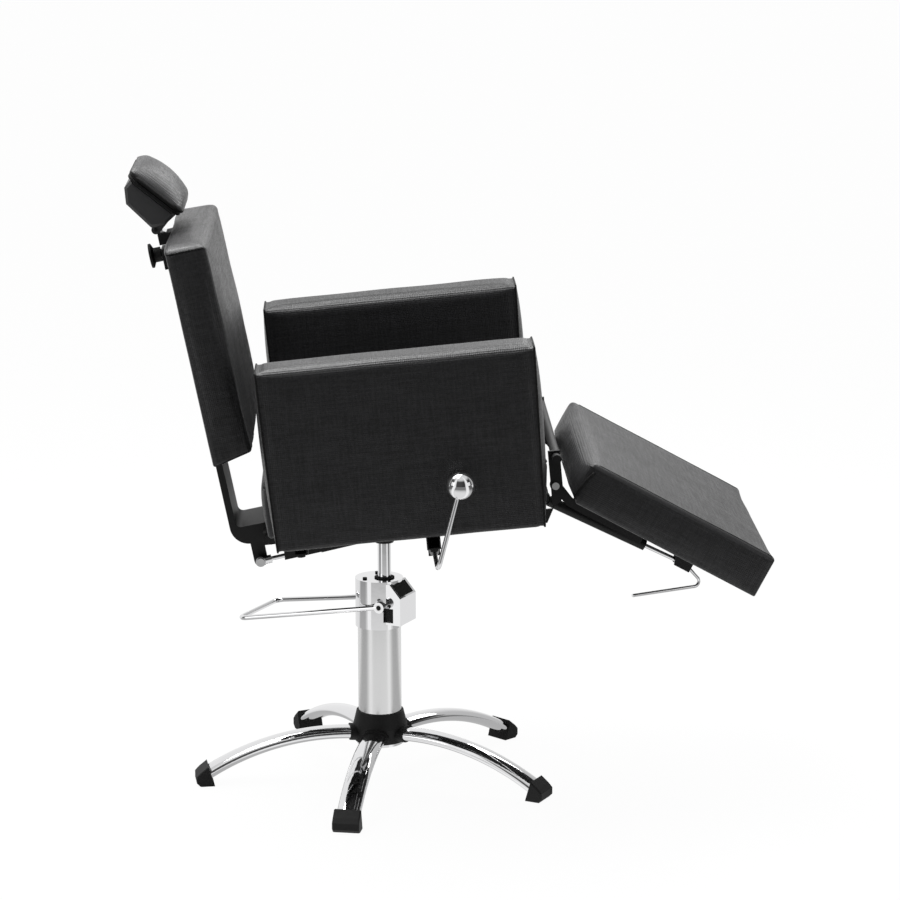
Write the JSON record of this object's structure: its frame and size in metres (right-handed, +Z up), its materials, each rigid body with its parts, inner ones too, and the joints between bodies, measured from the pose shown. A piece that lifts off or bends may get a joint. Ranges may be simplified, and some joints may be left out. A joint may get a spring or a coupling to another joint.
{
  "type": "tattoo chair",
  "caption": "Reclining tattoo chair on a star base with a hydraulic foot pump, padded arms, a raised leg rest, a ball-topped recline lever and a tilting headrest.",
  "frame": {"origin": "on the floor, at the centre of the star base under the pump column", "axes": "+X the way the sitter faces, towards the leg rest; +Y to the sitter's left; +Z up"},
  "size_m": [1.1004, 0.767, 1.1309],
  "materials": {
    "leatherette": "fine grained black leatherette, low sheen",
    "chrome": "polished",
    "satin_steel": "satin",
    "black_steel": "black powder coat",
    "black_plastic": "moulded, semi-matt",
    "plywood": "plain",
    "rubber": "matt"
  },
  "bodies": {
    "base": {"star_hub": "chrome", "star_leg_1": "chrome", "star_leg_2": "chrome", "star_leg_3": "chrome", "star_leg_4": "chrome", "star_leg_5": "chrome", "leg_caps": "black_plastic", "hub_cover": "black_plastic", "pump_column": "satin_steel", "pump_barrel": "satin_steel", "pump_head": "chrome", "head_window": "black_plastic", "head_screws": "black_steel", "ram_wiper": "rubber"},
    "lift": {"lift_ram": "chrome", "ram_piston": "satin_steel"},
    "pedal": {"foot_pedal": "chrome", "pedal_axle": "satin_steel"},
    "seat": {"seat_mount": "black_steel", "frame_rail_right": "black_steel", "frame_rail_left": "black_steel", "cross_rail_rear": "black_steel", "cross_rail_middle": "black_steel", "cross_rail_front": "black_steel", "seat_board": "plywood", "seat_cushion": "leatherette", "arm_right": "leatherette", "arm_left": "leatherette", "arm_bolts": "satin_steel", "leg_upright_right": "black_steel", "leg_upright_left": "black_steel", "front_tube": "black_steel", "strut_bracket": "black_steel", "recline_pin": "satin_steel", "leg_rest_pins": "satin_steel", "spring_pins": "satin_steel", "spring_channel": "black_steel", "spring_ears": "black_steel", "lever_bracket": "black_steel"},
    "back": {"back_bracket": "black_steel", "ball_stud": "chrome", "back_board": "plywood", "back_cushion": "leatherette", "headrest_guide": "black_steel"},
    "headrest_slider": {"headrest_stem": "chrome", "tilt_pin": "satin_steel"},
    "headrest_knob": {"guide_knob": "black_plastic"},
    "headrest": {"headrest_shell": "black_plastic", "headrest_pad": "leatherette"},
    "recline_rod": {"spring_rod": "chrome"},
    "recline_tube": {"spring_tube": "black_steel"},
    "leg_rest": {"rest_frame": "black_steel", "rest_board": "plywood", "rest_cushion": "leatherette", "release_head": "black_steel"},
    "leg_strut_rod": {"strut_rod": "chrome"},
    "leg_strut_tube": {"strut_tube": "black_steel"},
    "release_lever": {"release_wire": "black_steel"},
    "recline_lever": {"lever_bar": "chrome", "lever_ball": "chrome"}
  },
  "joints": [
    {"name": "lift", "type": "slide", "parent": "base", "child": "lift", "axis": [0, 0, 1], "range_m": [-0.06, 0.09]},
    {"name": "swivel", "type": "hinge", "parent": "lift", "child": "seat", "pos_m": [0.00971, -0.00516, 0.45], "axis": [0, 0, 1], "continuous": true},
    {"name": "pedal", "type": "hinge", "parent": "base", "child": "pedal", "pos_m": [0.02207, -0.01174, 0.327], "axis": [-0.4695, -0.8829, 0], "range_deg": [0, 25], "stiffness_Nm_per_rad": 9, "springref_deg": -17.19},
    {"name": "recline", "type": "hinge", "parent": "seat", "child": "back", "pos_m": [-0.18984, 0, 0.46825], "axis": [0, -1, 0], "range_deg": [0, 55]},
    {"name": "recline_rod_turn", "type": "hinge", "parent": "back", "child": "recline_rod", "pos_m": [-0.21004, -0.04, 0.41173], "axis": [0, -1, 0], "range_deg": [-53.48, 0.6]},
    {"name": "recline_tube_slide", "type": "slide", "parent": "recline_rod", "child": "recline_tube", "axis": [0.9746, 0, 0.2241], "range_m": [-0.05446, 0.0006]},
    {"name": "leg_rest_tilt", "type": "hinge", "parent": "seat", "child": "leg_rest", "pos_m": [0.30203, 0, 0.58802], "axis": [0, -1, 0], "range_deg": [-40, 10]},
    {"name": "leg_strut_turn", "type": "hinge", "parent": "leg_rest", "child": "leg_strut_rod", "pos_m": [0.54003, -0.06, 0.40502], "axis": [0, -1, 0], "range_deg": [-5.65, 1.86]},
    {"name": "leg_strut_slide", "type": "slide", "parent": "leg_strut_rod", "child": "leg_strut_tube", "axis": [-0.8995, 0, 0.437], "range_m": [-0.03695, 0.00969]},
    {"name": "leg_rest_release", "type": "hinge", "parent": "leg_rest", "child": "release_lever", "pos_m": [0.54003, -0.0415, 0.40502], "axis": [0, 1, 0], "range_deg": [0, 12], "stiffness_Nm_per_rad": 1.5, "springref_deg": -8.59},
    {"name": "recline_release", "type": "hinge", "parent": "seat", "child": "recline_lever", "pos_m": [0.09138, -0.318, 0.49626], "axis": [0, -1, 0], "range_deg": [0, 20], "stiffness_Nm_per_rad": 8, "springref_deg": -11.46},
    {"name": "headrest_height", "type": "slide", "parent": "back", "child": "headrest_slider", "axis": [-0.1982, 0, 0.9802], "range_m": [0, 0.08]},
    {"name": "headrest_clamp", "type": "hinge", "parent": "back", "child": "headrest_knob", "pos_m": [-0.38649, 0, 0.95646], "axis": [0.9802, 0, 0.1982], "continuous": true},
    {"name": "headrest_tilt", "type": "hinge", "parent": "headrest_slider", "child": "headrest", "pos_m": [-0.38406, 0, 1.00399], "axis": [0, -1, 0], "range_deg": [-20, 35]}
  ],
  "couplings": [
    {"joint": "recline_rod_turn", "follows": "recline", "ratio": -0.9614},
    {"joint": "recline_tube_slide", "follows": "recline", "m_per_rad": -0.05611},
    {"joint": "leg_strut_turn", "follows": "leg_rest_tilt", "ratio": 0.1262},
    {"joint": "leg_strut_slide", "follows": "leg_rest_tilt", "m_per_rad": 0.05207}
  ]
}
